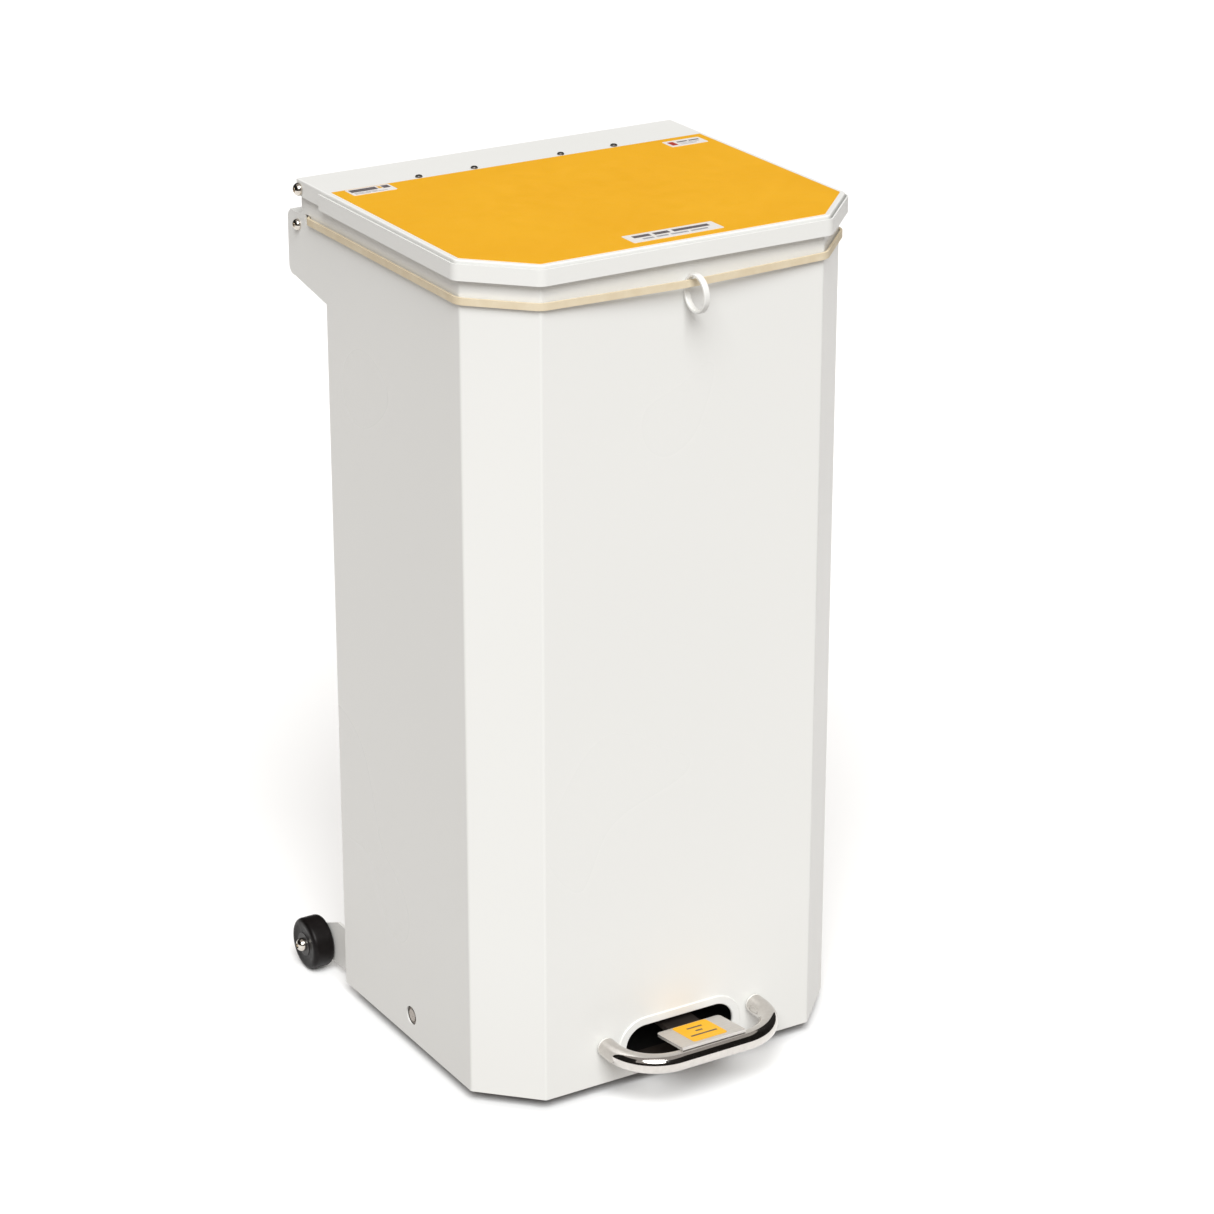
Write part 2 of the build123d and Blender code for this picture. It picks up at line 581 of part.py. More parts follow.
with BuildPart() as bar_end_plugs:
    for side in (-1, 1):
        plug_plane = Plane(
            origin=(side * PEDAL_HALF_WIDTH, FRONT_Y + PEDAL_BAR_END + WELD_GAP, PEDAL_BAR_Z),
            x_dir=(1, 0, 0),
            z_dir=(0, 1, 0),
        )
        with BuildSketch(plug_plane):
            Circle(PEDAL_TUBE_RADIUS - 0.2)
        extrude(amount=PLUG_END - PEDAL_BAR_END)
    chamfer(bar_end_plugs.edges().filter_by(GeomType.CIRCLE).group_by(Axis.Y)[-1], 0.6)

with BuildPart() as pivot_tube:
    with BuildSketch(side_plane(0, AXLE_Y, AXLE_Z)):
        Circle(PIVOT_TUBE_RADIUS)
        Circle(AXLE_RADIUS + RUNNING_CLEARANCE, mode=Mode.SUBTRACT)
    extrude(amount=PIVOT_TUBE_HALF_LENGTH, both=True)

AXLE_HALF_LENGTH = HALF_WIDTH - 1.0
with BuildPart() as pedal_axle:
    with BuildSketch(side_plane(0, AXLE_Y, AXLE_Z)):
        Circle(AXLE_RADIUS)
    extrude(amount=AXLE_HALF_LENGTH, both=True)

BUSH_LENGTH = 14.0
BUSH_RECESS = 1.8
with BuildPart() as axle_bushes:
    for side in (-1, 1):
        with BuildSketch(side_plane(side * (HALF_WIDTH - BUSH_RECESS), AXLE_Y, AXLE_Z)):
            Circle(AXLE_HOLE_RADIUS - FIT_GAP)
            Circle(AXLE_RADIUS + WELD_GAP, mode=Mode.SUBTRACT)
        extrude(amount=-side * BUSH_LENGTH)

COLLAR_RADIUS = 11.0
COLLAR_WIDTH = 8.0
with BuildPart() as axle_collars:
    for side in (-1, 1):
        with BuildSketch(side_plane(side * (PIVOT_TUBE_HALF_LENGTH + 0.5), AXLE_Y, AXLE_Z)):
            Circle(COLLAR_RADIUS)
            Circle(AXLE_RADIUS + WELD_GAP, mode=Mode.SUBTRACT)
        extrude(amount=side * COLLAR_WIDTH)

# ---------------------------------------------------------------- wheels
WHEEL_Y = FRONT_Y + WHEEL_BEHIND_FRONT
WHEEL_Z = WHEEL_RADIUS + WHEEL_LIFT
WHEEL_INNER_X = WHEEL_OUTER_X - WHEEL_WIDTH
HUB_RADIUS = 12.0
WHEEL_BOLT_RADIUS = 4.0
BRACKET_THICKNESS = 3.0
BRACKET_OUTER_X = WHEEL_INNER_X - 0.8
BRACKET_NOSE_RADIUS = 17.0


def wheel_tyre(sign):
    """Solid rubber tyre with rounded shoulders."""
    with BuildPart(mode=Mode.PRIVATE) as tyre:
        with BuildSketch(side_plane(sign * WHEEL_INNER_X, WHEEL_Y, WHEEL_Z)):
            Circle(WHEEL_RADIUS)
        extrude(amount=sign * WHEEL_WIDTH)
        fillet(tyre.edges().filter_by(GeomType.CIRCLE), 3.6)
        with BuildSketch(side_plane(sign * WHEEL_INNER_X, WHEEL_Y, WHEEL_Z)):
            Circle(HUB_RADIUS)
        extrude(amount=sign * WHEEL_WIDTH, mode=Mode.SUBTRACT)
    return tyre.part


def wheel_hub(sign):
    """Nylon hub pressed into the tyre and running on its bolt."""
    with BuildPart(mode=Mode.PRIVATE) as hub:
        with BuildSketch(side_plane(sign * (WHEEL_INNER_X - 0.3), WHEEL_Y, WHEEL_Z)):
            Circle(HUB_RADIUS)
            Circle(WHEEL_BOLT_RADIUS + RUNNING_CLEARANCE, mode=Mode.SUBTRACT)
        extrude(amount=sign * (WHEEL_WIDTH + 0.3))
    return hub.part


def wheel_bracket(sign):
    """White plate behind the body that carries one wheel, with a flange on the back panel."""
    with BuildPart(mode=Mode.PRIVATE) as bracket:
        with BuildSketch(side_plane(sign * BRACKET_OUTER_X, 0, 0)):
            with BuildLine():
                Polyline(
                    side_point(BODY_DEPTH + 0.2, 3.0),
                    side_point(BODY_DEPTH + 0.2, 47.0),
                    side_point(345.0, 47.0),
                    (WHEEL_Y + 4.0, WHEEL_Z + BRACKET_NOSE_RADIUS * 0.95),
                    (WHEEL_Y, WHEEL_Z - BRACKET_NOSE_RADIUS),
                    close=True,
                )
            make_face()
            with Locations((WHEEL_Y, WHEEL_Z)):
                Circle(BRACKET_NOSE_RADIUS)
                Circle(WHEEL_BOLT_RADIUS + WELD_GAP, mode=Mode.SUBTRACT)
        extrude(amount=-sign * BRACKET_THICKNESS)
        flange_x = sign * (BRACKET_OUTER_X - 14.0)
        with Locations((flange_x, REAR_Y + 0.2 + BRACKET_THICKNESS / 2, BOTTOM_Z + 25.0)):
            Box(28.0, BRACKET_THICKNESS, 44.0)
    return bracket.part


with BuildPart() as left_tyre:
    add(wheel_tyre(-1))

with BuildPart() as right_tyre:
    add(wheel_tyre(1))

with BuildPart() as left_hub:
    add(wheel_hub(-1))

with BuildPart() as right_hub:
    add(wheel_hub(1))

with BuildPart() as left_wheel_bracket:
    add(wheel_bracket(-1))

with BuildPart() as right_wheel_bracket:
    add(wheel_bracket(1))

WHEEL_HEAD_RADIUS = 6.8
WHEEL_HEAD_HEIGHT = 7.0
WHEEL_HEAD_X = WHEEL_OUTER_X + 0.4
with BuildPart() as wheel_bolts:
    for side in (-1, 1):
        add(domed_head(side * WHEEL_HEAD_X, WHEEL_Y, WHEEL_Z, side, WHEEL_HEAD_RADIUS, WHEEL_HEAD_HEIGHT))
        with BuildSketch(side_plane(side * WHEEL_HEAD_X, WHEEL_Y, WHEEL_Z)):
            Circle(WHEEL_BOLT_RADIUS)
        extrude(amount=-side * (WHEEL_HEAD_X - BRACKET_OUTER_X + BRACKET_THICKNESS + 8.0))

with BuildPart() as wheel_nuts:
    for side in (-1, 1):
        with BuildSketch(side_plane(side * (BRACKET_OUTER_X - BRACKET_THICKNESS - WELD_GAP), WHEEL_Y, WHEEL_Z)):
            RegularPolygon(7.5, 6)
            Circle(WHEEL_BOLT_RADIUS + WELD_GAP, mode=Mode.SUBTRACT)
        extrude(amount=-side * 6.5)

# ---------------------------------------------------------------- band and ring
BAND_END_X = HALF_WIDTH - 9.0
BAND_END_BACK = 349.0
BAND_TURN_BACK = 336.0
BAND_RING_REACH = 9.0
band_corners = plan_points(BAND_GROW, BAND_TURN_BACK)
left_half = [(-BAND_END_X, FRONT_Y + BAND_END_BACK)] + band_corners[:3]
right_half = band_corners[3:] + [(BAND_END_X, FRONT_Y + BAND_END_BACK)]
ring_span = [
    (-BAND_RING_REACH, FRONT_Y + BAND_AT_RING),
    (BAND_RING_REACH, FRONT_Y + BAND_AT_RING),
]
band_radii = [2.0, BAND_CORNER_RADIUS, BAND_CORNER_RADIUS, 30.0, 30.0, BAND_CORNER_RADIUS, BAND_CORNER_RADIUS, 2.0]
with BuildPart() as rubber_band:
    with BuildSketch(Plane.XY.offset(BAND_Z - BAND_HEIGHT / 2)):
        with BuildLine():
            FilletPolyline(*left_half, *ring_span, *right_half, radius=band_radii)
        trace(line_width=BAND_THICKNESS)
    extrude(amount=BAND_HEIGHT)

RING_Y = FRONT_Y + BAND_AT_RING + RING_OFFSET_Y
RING_Z = BAND_Z + RING_OFFSET_Z
with BuildPart() as pull_ring:
    with BuildSketch(side_plane(0, RING_Y, RING_Z)):
        Circle(RING_RADIUS)
        Circle(RING_HOLE_RADIUS, mode=Mode.SUBTRACT)
    extrude(amount=RING_HALF_WIDTH, both=True)
    fillet(pull_ring.edges().filter_by(GeomType.CIRCLE), 1.0)

# ---------------------------------------------------------------- write every piece
PIECES = {
    "body_shell": body_shell,
    "back_panel": back_panel,
    "floor_pan": floor_pan,
    "base_ring": base_ring,
    "bag_rim": bag_rim,
    "slot_trim": slot_trim,
    "feet": feet,
    "lid_buffers": lid_buffers,
    "left_housing_plate": left_housing_plate,
    "right_housing_plate": right_housing_plate,
    "housing_cover": housing_cover,
    "rod_cover": rod_cover,
    "spreader_bar": spreader_bar,
    "spreader_screws": spreader_screws,
    "hinge_screws": hinge_screws,
    "hinge_spacers": hinge_spacers,
    "hinge_nuts": hinge_nuts,
    "lid_plate": lid_plate,
    "lid_rim": lid_rim,
    "lid_lining": lid_lining,
    "yellow_panel": yellow_panel,
    "lid_rivets": lid_rivets,
    "rear_left_label": rear_left_label,
    "rear_right_label": rear_right_label,
    "front_label": front_label,
    "lid_crank": lid_crank,
    "crank_pin": crank_pin,
    "rod_head": rod_head,
    "push_rod": push_rod,
    "rod_foot": rod_foot,
    "rod_guides": rod_guides,
    "pedal_arm": pedal_arm,
    "pedal_tread": pedal_tread,
    "pedal_label": pedal_label,
    "pedal_bar": pedal_bar,
    "bar_end_plugs": bar_end_plugs,
    "pivot_tube": pivot_tube,
    "pedal_axle": pedal_axle,
    "axle_bushes": axle_bushes,
    "axle_collars": axle_collars,
    "left_tyre": left_tyre,
    "right_tyre": right_tyre,
    "left_hub": left_hub,
    "right_hub": right_hub,
    "left_wheel_bracket": left_wheel_bracket,
    "right_wheel_bracket": right_wheel_bracket,
    "wheel_bolts": wheel_bolts,
    "wheel_nuts": wheel_nuts,
    "rubber_band": rubber_band,
    "pull_ring": pull_ring,
}

os.makedirs("parts", exist_ok=True)
for piece_name, piece in PIECES.items():
    piece.part.label = piece_name
    export_step(piece.part, f"parts/{piece_name}.step")
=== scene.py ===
"""Looks of the hospital pedal bin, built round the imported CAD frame. Units are metres."""
import json
import math

import bmesh
import bpy
from mathutils import Matrix, Vector


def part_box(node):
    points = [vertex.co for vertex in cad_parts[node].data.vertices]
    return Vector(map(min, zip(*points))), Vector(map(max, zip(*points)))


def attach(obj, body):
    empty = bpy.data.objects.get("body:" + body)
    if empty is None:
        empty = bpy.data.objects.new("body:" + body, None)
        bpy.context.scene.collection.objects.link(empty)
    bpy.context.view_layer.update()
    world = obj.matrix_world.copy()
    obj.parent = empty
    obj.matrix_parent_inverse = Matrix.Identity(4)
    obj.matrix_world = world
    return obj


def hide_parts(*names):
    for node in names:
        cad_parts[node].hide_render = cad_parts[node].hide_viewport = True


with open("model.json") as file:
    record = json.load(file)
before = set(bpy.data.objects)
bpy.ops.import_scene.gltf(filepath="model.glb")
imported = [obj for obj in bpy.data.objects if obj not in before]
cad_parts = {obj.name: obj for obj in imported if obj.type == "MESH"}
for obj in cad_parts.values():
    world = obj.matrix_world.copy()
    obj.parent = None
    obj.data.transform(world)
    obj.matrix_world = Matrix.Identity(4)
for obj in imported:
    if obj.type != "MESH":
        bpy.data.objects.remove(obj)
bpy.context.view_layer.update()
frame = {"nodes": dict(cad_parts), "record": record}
scene = bpy.context.scene
MM = 0.001

# ---------------------------------------------------------------- camera
CAMERA_PLACE = Vector((-1.682, -2.8134, 1.7702))
CAMERA_AZIMUTH = math.radians(31.165)
CAMERA_DOWN = math.radians(21.59)
CAMERA_LENS = 109.87
CAMERA_SENSOR = 36.0
CAMERA_SHIFT_Y = -0.0387
CAMERA_REACH = 50.0

camera_data = bpy.data.cameras.new("camera")
camera_data.sensor_width = CAMERA_SENSOR
camera_data.lens = CAMERA_LENS
camera_data.shift_y = CAMERA_SHIFT_Y
camera_data.clip_end = CAMERA_REACH
camera = bpy.data.objects.new("camera", camera_data)
camera.location = CAMERA_PLACE
camera.rotation_euler = (math.pi / 2 - CAMERA_DOWN, 0.0, -CAMERA_AZIMUTH)
scene.collection.objects.link(camera)
scene.camera = camera

# ---------------------------------------------------------------- light
WORLD_COLOUR = (1.0, 0.94, 0.89, 1.0)
WORLD_STRENGTH = 0.41
# Name, direction that the light comes from, level, angular size in degrees, colour.
SUNS = [
    ("key", (-0.31, -0.59, 0.75), 1.0, 40.0, (0.99, 1.0, 1.0)),
    ("back_fill", (0.55, 0.75, 0.2), 0.26, 60.0, (1.0, 0.99, 0.97)),
]


def soft_sun(name, source, level, spread, colour):
    """Distant light from a direction; level 1 lights a white face that looks at it to full white."""
    data = bpy.data.lights.new(name, "SUN")
    data.energy = level * math.pi
    data.angle = math.radians(spread)
    data.color = colour
    light = bpy.data.objects.new(name, data)
    light.rotation_euler = (-Vector(source)).to_track_quat("-Z", "Y").to_euler()
    scene.collection.objects.link(light)


scene.view_settings.view_transform = "Standard"
world = bpy.data.worlds.new("studio")
world.use_nodes = True
background = world.node_tree.nodes["Background"]
background.inputs["Color"].default_value = WORLD_COLOUR
background.inputs["Strength"].default_value = WORLD_STRENGTH
scene.world = world
for sun in SUNS:
    soft_sun(*sun)

# ---------------------------------------------------------------- floor and cards
FLOOR_REACH = 12.0
CARD_ROUGHNESS = 0.9
CARD_RADIUS = 3.0
CARD_FOOT = 0.02
CARD_STEPS = 72
CARD_TOP = 3.8
CARD_LOW_TOP = 1.3
CARD_LOW_FROM = 290.0
CARD_LOW_TO = 355.0
UNDER_INSET = 0.05
UNDER_HEIGHT = 0.0006


def plain_material(name, colour, roughness):
    """Material of one flat colour, for the stage only."""
    material = bpy.data.materials.new(name)
    material.use_nodes = True
    shader = material.node_tree.nodes["Principled BSDF"]
    shader.inputs["Base Color"].default_value = (*colour, 1.0)
    shader.inputs["Roughness"].default_value = roughness
    return material


def stage_mesh(name, corners, faces, material):
    """Floor or card that isn't part of the object."""
    mesh = bpy.data.meshes.new(name)
    mesh.from_pydata(corners, [], faces)
    mesh.materials.append(material)
    item = bpy.data.objects.new(name, mesh)
    scene.collection.objects.link(item)
    return item


def stage_rectangle(name, low, high, height, material):
    """Level rectangle between two opposite corners."""
    corners = [
        (low[0], low[1], height),
        (high[0], low[1], height),
        (high[0], high[1], height),
        (low[0], high[1], height),
    ]
    return stage_mesh(name, corners, [(0, 1, 2, 3)], material)


floor_paper = plain_material("floor_paper", (0.99, 0.995, 1.0), 1.0)
floor = stage_rectangle("floor", (-FLOOR_REACH, -FLOOR_REACH), (FLOOR_REACH, FLOOR_REACH), 0.0, floor_paper)
floor.visible_diffuse = False
floor.visible_shadow = False

# A ring of dark cards that only reflections see. It is lower where the key light stands.
card_corners = []
card_faces = []
for card_step in range(CARD_STEPS + 1):
    card_turn = 360.0 * card_step / CARD_STEPS
    card_angle = math.radians(card_turn)
    card_x = CARD_RADIUS * math.sin(card_angle)
    card_y = -CARD_RADIUS * math.cos(card_angle)
    card_top = CARD_LOW_TOP if CARD_LOW_FROM < card_turn < CARD_LOW_TO else CARD_TOP
    card_corners += [(card_x, card_y, CARD_FOOT), (card_x, card_y, card_top)]
    if card_step:
        first = 2 * card_step - 2
        card_faces.append((first, first + 2, first + 3, first + 1))
card_black = plain_material("card_black", (0.012, 0.01, 0.009), CARD_ROUGHNESS)
cards = stage_mesh("dark_cards", card_corners, card_faces, card_black)
cards.visible_camera = False
cards.visible_shadow = False
cards.visible_diffuse = False

# A black card on the floor under the bin, which keeps light out of its hollow base.
body_low, body_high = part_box("body_shell")
under_low = (body_low[0] + UNDER_INSET, body_low[1] + UNDER_INSET)
under_high = (body_high[0] - UNDER_INSET, body_high[1] - UNDER_INSET)
card_under = plain_material("card_under", (0.01, 0.009, 0.008), CARD_ROUGHNESS)
stage_rectangle("under_card", under_low, under_high, UNDER_HEIGHT, card_under)


# ---------------------------------------------------------------- materials
NOISE_LOW = 0.3
NOISE_HIGH = 0.7
# How high the darkening towards the floor reaches, and how strong it is at the floor.
FLOOR_DARKENING_TOP = 0.16
FLOOR_DARKENING_MOST = 0.35
EVEN = (1.0, 1.0, 1.0)
BRUSHED_ALONG_X = (0.1, 1.0, 1.0)


class Recipe:
    """Small helper that wires one procedural material."""

    def __init__(self, name):
        self.material = bpy.data.materials.new(name)
        self.material.use_nodes = True
        self.nodes = self.material.node_tree.nodes
        self.links = self.material.node_tree.links
        self.shader = self.nodes["Principled BSDF"]
        self.coords = self.nodes.new("ShaderNodeTexCoord")

    def set(self, socket, value):
        """Constant on the shader's own socket."""
        self.shader.inputs[socket].default_value = value

    def noise(self, scale, detail, stretch=EVEN):
        """Noise in object coordinates; scale is in waves per metre."""
        mapping = self.nodes.new("ShaderNodeMapping")
        mapping.inputs["Scale"].default_value = stretch
        self.links.new(self.coords.outputs["Object"], mapping.inputs["Vector"])
        texture = self.nodes.new("ShaderNodeTexNoise")
        texture.inputs["Scale"].default_value = scale
        texture.inputs["Detail"].default_value = detail
        self.links.new(mapping.outputs["Vector"], texture.inputs["Vector"])
        return texture.outputs["Fac"]

    def ramp(self, source, first, second, low=NOISE_LOW, high=NOISE_HIGH):
        """Colour that goes from first to second as source goes from low to high."""
        node = self.nodes.new("ShaderNodeValToRGB")
        for element, position, colour in zip(node.color_ramp.elements, (low, high), (first, second)):
            element.position = position
            element.color = (*colour, 1.0)
        self.links.new(source, node.inputs["Fac"])
        return node.outputs["Color"]

    def spread(self, source, low, high, start=NOISE_LOW, end=NOISE_HIGH):
        """Number that goes from low to high as source goes from start to end."""
        node = self.nodes.new("ShaderNodeMapRange")
        node.inputs["From Min"].default_value = start
        node.inputs["From Max"].default_value = end
        node.inputs["To Min"].default_value = low
        node.inputs["To Max"].default_value = high
        self.links.new(source, node.inputs["Value"])
        return node.outputs["Result"]

    def mix(self, factor, first, second):
        """A colour socket mixed with a plain colour by a factor socket."""
        node = self.nodes.new("ShaderNodeMix")
        node.data_type = "RGBA"
        sockets = {socket.name: socket for socket in node.inputs if socket.enabled}
        self.links.new(factor, sockets["Factor"])
        self.links.new(first, sockets["A"])
        sockets["B"].default_value = (*second, 1.0)
        return next(socket for socket in node.outputs if socket.enabled)

    def height(self):
        """Height above the floor, in metres."""
        split = self.nodes.new("ShaderNodeSeparateXYZ")
        self.links.new(self.coords.outputs["Object"], split.inputs["Vector"])
        return split.outputs["Z"]

    def bump(self, source, strength, distance):
        """Surface relief from a height source."""
        node = self.nodes.new("ShaderNodeBump")
        node.inputs["Strength"].default_value = strength
        node.inputs["Distance"].default_value = distance
        self.links.new(source, node.inputs["Height"])
        self.links.new(node.outputs["Normal"], self.shader.inputs["Normal"])

    def colour(self, socket):
        """Base colour from a socket."""
        self.links.new(socket, self.shader.inputs["Base Color"])

    def roughness(self, socket):
        """Roughness from a socket."""
        self.links.new(socket, self.shader.inputs["Roughness"])


def enamel_material():
    """White baked enamel: faint orange peel, slight mottling, and a colour that darkens a little towards the
    floor.
    """
    m = Recipe("enamel")
    clean = m.ramp(m.noise(scale=3.0, detail=1.0), (0.845, 0.85, 0.832), (0.855, 0.86, 0.842))
    # The colour darkens towards the floor over the lowest part of the body.
    near_floor = m.spread(m.height(), low=0.0, high=FLOOR_DARKENING_MOST, start=FLOOR_DARKENING_TOP, end=0.0)
    m.colour(m.mix(near_floor, clean, (0.77, 0.765, 0.735)))
    m.roughness(m.spread(m.noise(scale=4.0, detail=1.0), low=0.27, high=0.31))
    m.bump(m.noise(scale=260.0, detail=1.0), strength=0.008, distance=0.0003)
    m.set("Specular IOR Level", 0.3)
    m.set("Coat Weight", 0.05)
    m.set("Coat Roughness", 0.12)
    return m.material


def vinyl_material(name, pale, deep):
    """Self-adhesive vinyl: slight mottling and soft sheen."""
    m = Recipe(name)
    m.colour(m.ramp(m.noise(scale=14.0, detail=3.0), deep, pale))
    m.roughness(m.spread(m.noise(scale=60.0, detail=3.0), low=0.33, high=0.43))
    m.bump(m.noise(scale=900.0, detail=2.0), strength=0.08, distance=0.0003)
    m.set("Specular IOR Level", 0.2)
    return m.material


def metal_material(name, pale, dark, smoothest, roughest, scale, stretch=EVEN):
    """Metal with fine drawn or polished marks."""
    m = Recipe(name)
    m.set("Metallic", 1.0)
    marks = m.noise(scale=scale, detail=5.0, stretch=stretch)
    m.colour(m.ramp(marks, dark, pale, low=0.25, high=0.75))
    m.roughness(m.spread(marks, smoothest, roughest))
    m.bump(marks, strength=0.05, distance=0.0002)
    return m.material


def rubber_material(name, pale, dark, smoothest, roughest, grain, relief):
    """Moulded rubber with a fine grain and faint dust."""
    m = Recipe(name)
    m.colour(m.ramp(m.noise(scale=70.0, detail=5.0), dark, pale, low=0.35))
    m.roughness(m.spread(m.noise(scale=180.0, detail=3.0), smoothest, roughest))
    m.bump(m.noise(scale=grain, detail=3.0), strength=relief, distance=0.0004)
    m.set("Specular IOR Level", 0.16)
    return m.material


def plastic_material(name, pale, dark, smoothest, roughest):
    """Moulded plastic or paint with a soft uneven gloss."""
    m = Recipe(name)
    m.colour(m.ramp(m.noise(scale=30.0, detail=3.0), dark, pale))
    m.roughness(m.spread(m.noise(scale=90.0, detail=3.0), smoothest, roughest))
    m.bump(m.noise(scale=1200.0, detail=2.0), strength=0.06, distance=0.0002)
    return m.material


# A recipe takes a pale and a dark colour, then, except for vinyl, the lowest and the highest roughness.
# Metal also takes the scale and the stretch of its marks, and rubber its grain and relief.
LOOKS = {
    "white_enamel": enamel_material(),
    "yellow_vinyl": vinyl_material("yellow_sheet", (0.86, 0.44, 0.008), (0.84, 0.42, 0.006)),
    "printed_label": vinyl_material("label_stock", (0.80, 0.78, 0.76), (0.76, 0.74, 0.72)),
    "bright_screws": metal_material("bright_dome", (0.74, 0.70, 0.64), (0.55, 0.50, 0.44), 0.10, 0.2, 300),
    "chrome_plate": metal_material("chrome", (0.70, 0.67, 0.64), (0.62, 0.59, 0.56), 0.05, 0.09, 260),
    "zinc_steel": metal_material("zinc", (0.62, 0.63, 0.65), (0.46, 0.47, 0.49), 0.30, 0.48, 120),
    "pedal_steel": metal_material(
        "satin_steel", (0.80, 0.77, 0.74), (0.68, 0.65, 0.62), 0.32, 0.46, 900, BRUSHED_ALONG_X
    ),
    "black_paint": plastic_material("black_lever", (0.035, 0.028, 0.024), (0.018, 0.014, 0.012), 0.4, 0.55),
    "black_rubber": rubber_material(
        "tyre_rubber", (0.009, 0.007, 0.007), (0.004, 0.003, 0.003), 0.34, 0.46, grain=1400.0, relief=0.05
    ),
    "black_nylon": plastic_material("hub_nylon", (0.03, 0.028, 0.028), (0.012, 0.011, 0.011), 0.4, 0.5),
    "nylon": plastic_material("pale_nylon", (0.84, 0.83, 0.79), (0.78, 0.77, 0.73), 0.35, 0.45),
    "natural_rubber": rubber_material(
        "band_rubber", (0.80, 0.70, 0.52), (0.74, 0.63, 0.45), 0.45, 0.6, grain=500.0, relief=0.06
    ),
    "white_plastic": plastic_material("ring_plastic", (0.86, 0.86, 0.84), (0.80, 0.80, 0.78), 0.25, 0.35),
}

# Nodes that look different from the rest of their slot.
NODE_LOOKS = {
    # The base ring's near-black colour is painted shade for the dark hollow seen through the pedal slot.
    "base_ring": plastic_material("base_ring_painted_shade", (0.040, 0.030, 0.024), (0.022, 0.016, 0.013), 0.45, 0.6),
    "lid_rivets": metal_material("dark_rivet", (0.30, 0.28, 0.27), (0.14, 0.13, 0.12), 0.28, 0.45, 400),
    "axle_bushes": metal_material("dull_bush", (0.20, 0.17, 0.15), (0.10, 0.085, 0.07), 0.22, 0.38, 350),
    "pedal_axle": metal_material("dull_axle", (0.42, 0.38, 0.34), (0.22, 0.19, 0.17), 0.22, 0.36, 350),
}

for entry in frame["record"]["subparts"]:
    node = frame["nodes"][entry["node"]]
    look = NODE_LOOKS.get(entry["node"], LOOKS[entry["material_slot"]])
    if not node.data.materials:
        node.data.materials.append(look)
    for place in node.material_slots:
        place.material = look

# ---------------------------------------------------------------- soft edges on the sheet metal
EDGE_SEGMENTS = 2
EDGE_ANGLE = math.radians(50)
EDGE_WIDTHS_MM = {
    "body_shell": 0.35,
    "lid_plate": 0.5,
    "lid_rim": 0.45,
    "left_housing_plate": 0.35,
    "right_housing_plate": 0.35,
    "pedal_tread": 0.5,
    "rubber_band": 0.7,
    "lid_crank": 0.3,
    "left_wheel_bracket": 0.5,
    "right_wheel_bracket": 0.5,
    "pedal_arm": 0.5,
    "yellow_panel": 0.12,
}
for node_name, width in EDGE_WIDTHS_MM.items():
    bevel = frame["nodes"][node_name].modifiers.new("soft_edges", "BEVEL")
    bevel.width = width * MM
    bevel.segments = EDGE_SEGMENTS
    bevel.limit_method = "ANGLE"
    bevel.angle_limit = EDGE_ANGLE
    bevel.harden_normals = True


# ---------------------------------------------------------------- printing on the labels
def piece(name, builder, body, look):
    """Mesh piece made by a bmesh builder, riding on a body."""
    shape = bmesh.new()
    builder(shape)
    bmesh.ops.recalc_face_normals(shape, faces=shape.faces)
    mesh = bpy.data.meshes.new(name)
    shape.to_mesh(mesh)
    shape.free()
    item = bpy.data.objects.new(name, mesh)
    scene.collection.objects.link(item)
    mesh.materials.append(look)
    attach(item, body)
    return item


INK_UNEVENNESS = 0.8


def ink_material(name, colour):
    """Printing ink with slightly uneven coverage."""
    m = Recipe(name)
    darker = tuple(part * INK_UNEVENNESS for part in colour)
    m.colour(m.ramp(m.noise(scale=400.0, detail=2.0), darker, colour, low=0.35, high=0.65))
    m.roughness(m.spread(m.noise(scale=200.0, detail=2.0), low=0.35, high=0.5))
    return m.material


INKS = {
    "grey": ink_material("ink_grey", (0.16, 0.14, 0.15)),
    "pale": ink_material("ink_pale", (0.42, 0.42, 0.44)),
    "red": ink_material("ink_red", (0.55, 0.05, 0.03)),
    "yellow": ink_material("ink_yellow", (0.90, 0.48, 0.04)),
    "black": ink_material("ink_black", (0.10, 0.07, 0.03)),
}
INK_THICKNESS = 0.04 * MM
FACES_UP = 0.5


def label_top(node_name):
    """Corner, width edge, depth edge and normal of a label's upper face."""
    mesh = frame["nodes"][node_name].data
    upper = [face for face in mesh.polygons if face.normal.z > FACES_UP]
    normal = max(upper, key=lambda face: face.area).normal.normalized()
    across = Vector((1.0, 0.0, 0.0))
    back = normal.cross(across).normalized()
    points = [vertex.co for vertex in mesh.vertices]
    level = max(point.dot(normal) for point in points)
    lefts = [point.dot(across) for point in points]
    depths = [point.dot(back) for point in points]
    corner = across * min(lefts) + back * min(depths) + normal * level
    return corner, across * (max(lefts) - min(lefts)), back * (max(depths) - min(depths)), normal


def printed_bars(name, node_name, body, rows):
    """Plain bars on a label. Each row is an ink, its front and back, and the (left, right) of each bar in it,
    all in parts of the label's size."""
    corner, width, depth, normal = label_top(node_name)
    turn = Matrix((width.normalized(), depth.normalized(), normal)).transposed().to_4x4()
    bars = [(ink, front, back, *span) for ink, front, back, spans in rows for span in spans]
    for number, (ink, front, back, left, right) in enumerate(bars):
        centre = corner + width * (left + right) / 2 + depth * (front + back) / 2 + normal * INK_THICKNESS / 2
        size = Vector((width.length * (right - left), depth.length * (back - front), INK_THICKNESS))
        matrix = Matrix.Translation(centre) @ turn @ Matrix.Diagonal((*size, 1.0))
        piece(
            f"{name}_{number}",
            lambda shape: bmesh.ops.create_cube(shape, size=1.0, matrix=matrix),
            body,
            INKS[ink],
        )


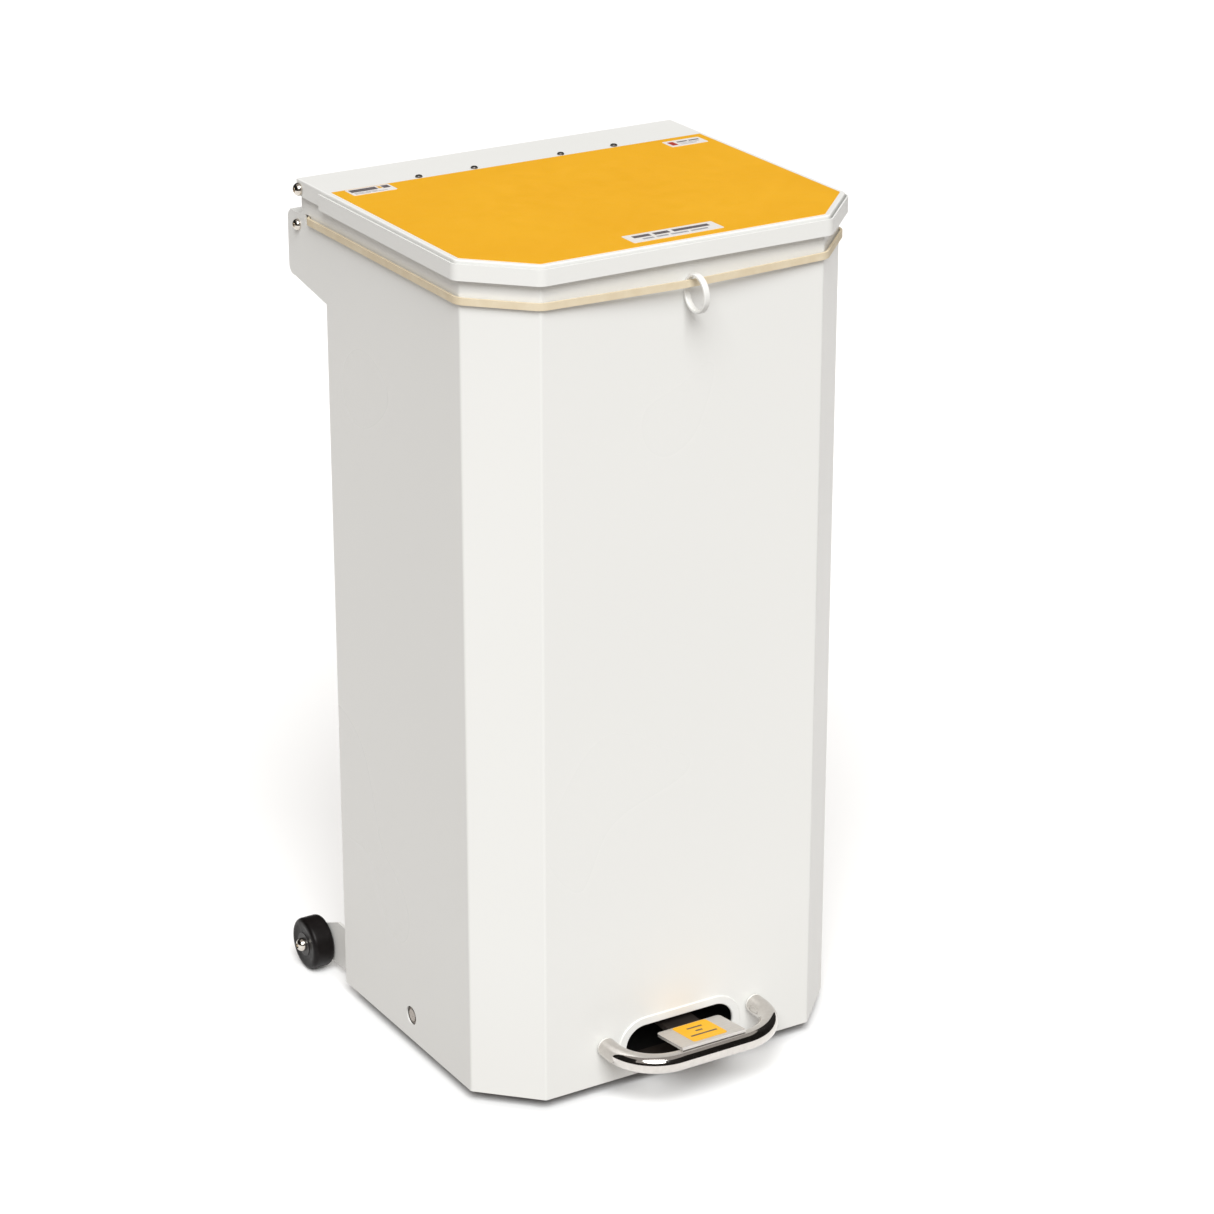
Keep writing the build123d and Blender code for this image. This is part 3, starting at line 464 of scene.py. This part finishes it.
printed_bars("rear_left_print", "rear_left_label", "lid", [
    ("grey", 0.46, 0.88, [(0.05, 0.66), (0.79, 0.95)]),
    ("yellow", 0.50, 0.84, [(0.69, 0.77)]),
    ("pale", 0.27, 0.34, [(0.07, 0.30), (0.33, 0.60)]),
    ("pale", 0.12, 0.19, [(0.07, 0.42), (0.45, 0.80)]),
])
printed_bars("rear_right_print", "rear_right_label", "lid", [
    ("red", 0.22, 0.80, [(0.08, 0.24)]),
    ("grey", 0.58, 0.74, [(0.32, 0.60), (0.64, 0.92)]),
    ("pale", 0.38, 0.45, [(0.32, 0.52), (0.55, 0.86)]),
    ("pale", 0.20, 0.27, [(0.32, 0.74)]),
])
printed_bars("front_print", "front_label", "lid", [
    ("grey", 0.52, 0.80, [(0.08, 0.27), (0.31, 0.48), (0.52, 0.92)]),
    ("pale", 0.22, 0.38, [(0.14, 0.26), (0.29, 0.42), (0.45, 0.64), (0.67, 0.86)]),
])
printed_bars("pedal_print", "pedal_label", "pedal", [
    ("black", 0.70, 0.77, [(0.28, 0.72)]),
    ("black", 0.49, 0.56, [(0.40, 0.60)]),
    ("black", 0.27, 0.34, [(0.12, 0.88)]),
])

# ---------------------------------------------------------------- moulded tyres
TYRE_SHOULDER = 4.6 * MM
TYRE_BORE = 12.0 * MM
TYRE_DISH = 0.5 * MM
TYRE_DISH_EDGE = 8.0 * MM
TYRE_SIDE_EDGE = 6.5 * MM
TYRE_STEPS = 96
SHOULDER_STEPS = 8
SHARP_ANGLE = math.radians(35.0)


def lathe(shape, origin, direction, profile, steps):
    """Turns a profile of (along, radius) points about an X axis through origin."""
    rings = []
    for along, radius in profile:
        ring = []
        for step in range(steps):
            angle = 2 * math.pi * step / steps
            place = (
                origin[0] + direction * along,
                origin[1] + radius * math.cos(angle),
                origin[2] + radius * math.sin(angle),
            )
            ring.append(shape.verts.new(place))
        rings.append(ring)
    for first_ring, second_ring in zip(rings, rings[1:] + rings[:1]):
        for step in range(steps):
            after = (step + 1) % steps
            shape.faces.new((first_ring[step], first_ring[after], second_ring[after], second_ring[step]))


def arc(centre_along, centre_radius, radius, start, stop, count):
    """Points of a circular arc in profile coordinates; start and stop are in degrees."""
    points = []
    for step in range(count + 1):
        angle = math.radians(start + (stop - start) * step / count)
        points.append((centre_along + radius * math.cos(angle), centre_radius + radius * math.sin(angle)))
    return points


def tyre_piece(side_name, direction):
    """Rubber tyre with round shoulders and a slightly recessed side wall. It widens from its inner side."""
    low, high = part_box(f"{side_name}_tyre")
    width = high[0] - low[0]
    radius = (high[2] - low[2]) / 2
    inner_x = high[0] if direction < 0 else low[0]
    origin = (inner_x, (low[1] + high[1]) / 2, (low[2] + high[2]) / 2)
    side_edge = radius - TYRE_SIDE_EDGE
    dish_edge = radius - TYRE_DISH_EDGE
    crown = radius - TYRE_SHOULDER
    profile = [(TYRE_DISH, TYRE_BORE), (TYRE_DISH, dish_edge), (0.0, side_edge)]
    profile += arc(TYRE_SHOULDER, crown, TYRE_SHOULDER, 180, 90, SHOULDER_STEPS)
    profile += arc(width - TYRE_SHOULDER, crown, TYRE_SHOULDER, 90, 0, SHOULDER_STEPS)
    profile += [(width, side_edge), (width - TYRE_DISH, dish_edge), (width - TYRE_DISH, TYRE_BORE)]
    item = piece(
        f"{side_name}_tyre_moulded",
        lambda shape: lathe(shape, origin, direction, profile, TYRE_STEPS),
        f"{side_name}_wheel",
        LOOKS["black_rubber"],
    )
    for face in item.data.polygons:
        face.use_smooth = True
    item.data.set_sharp_from_angle(angle=SHARP_ANGLE)
    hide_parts(f"{side_name}_tyre")


tyre_piece("left", -1)
tyre_piece("right", 1)
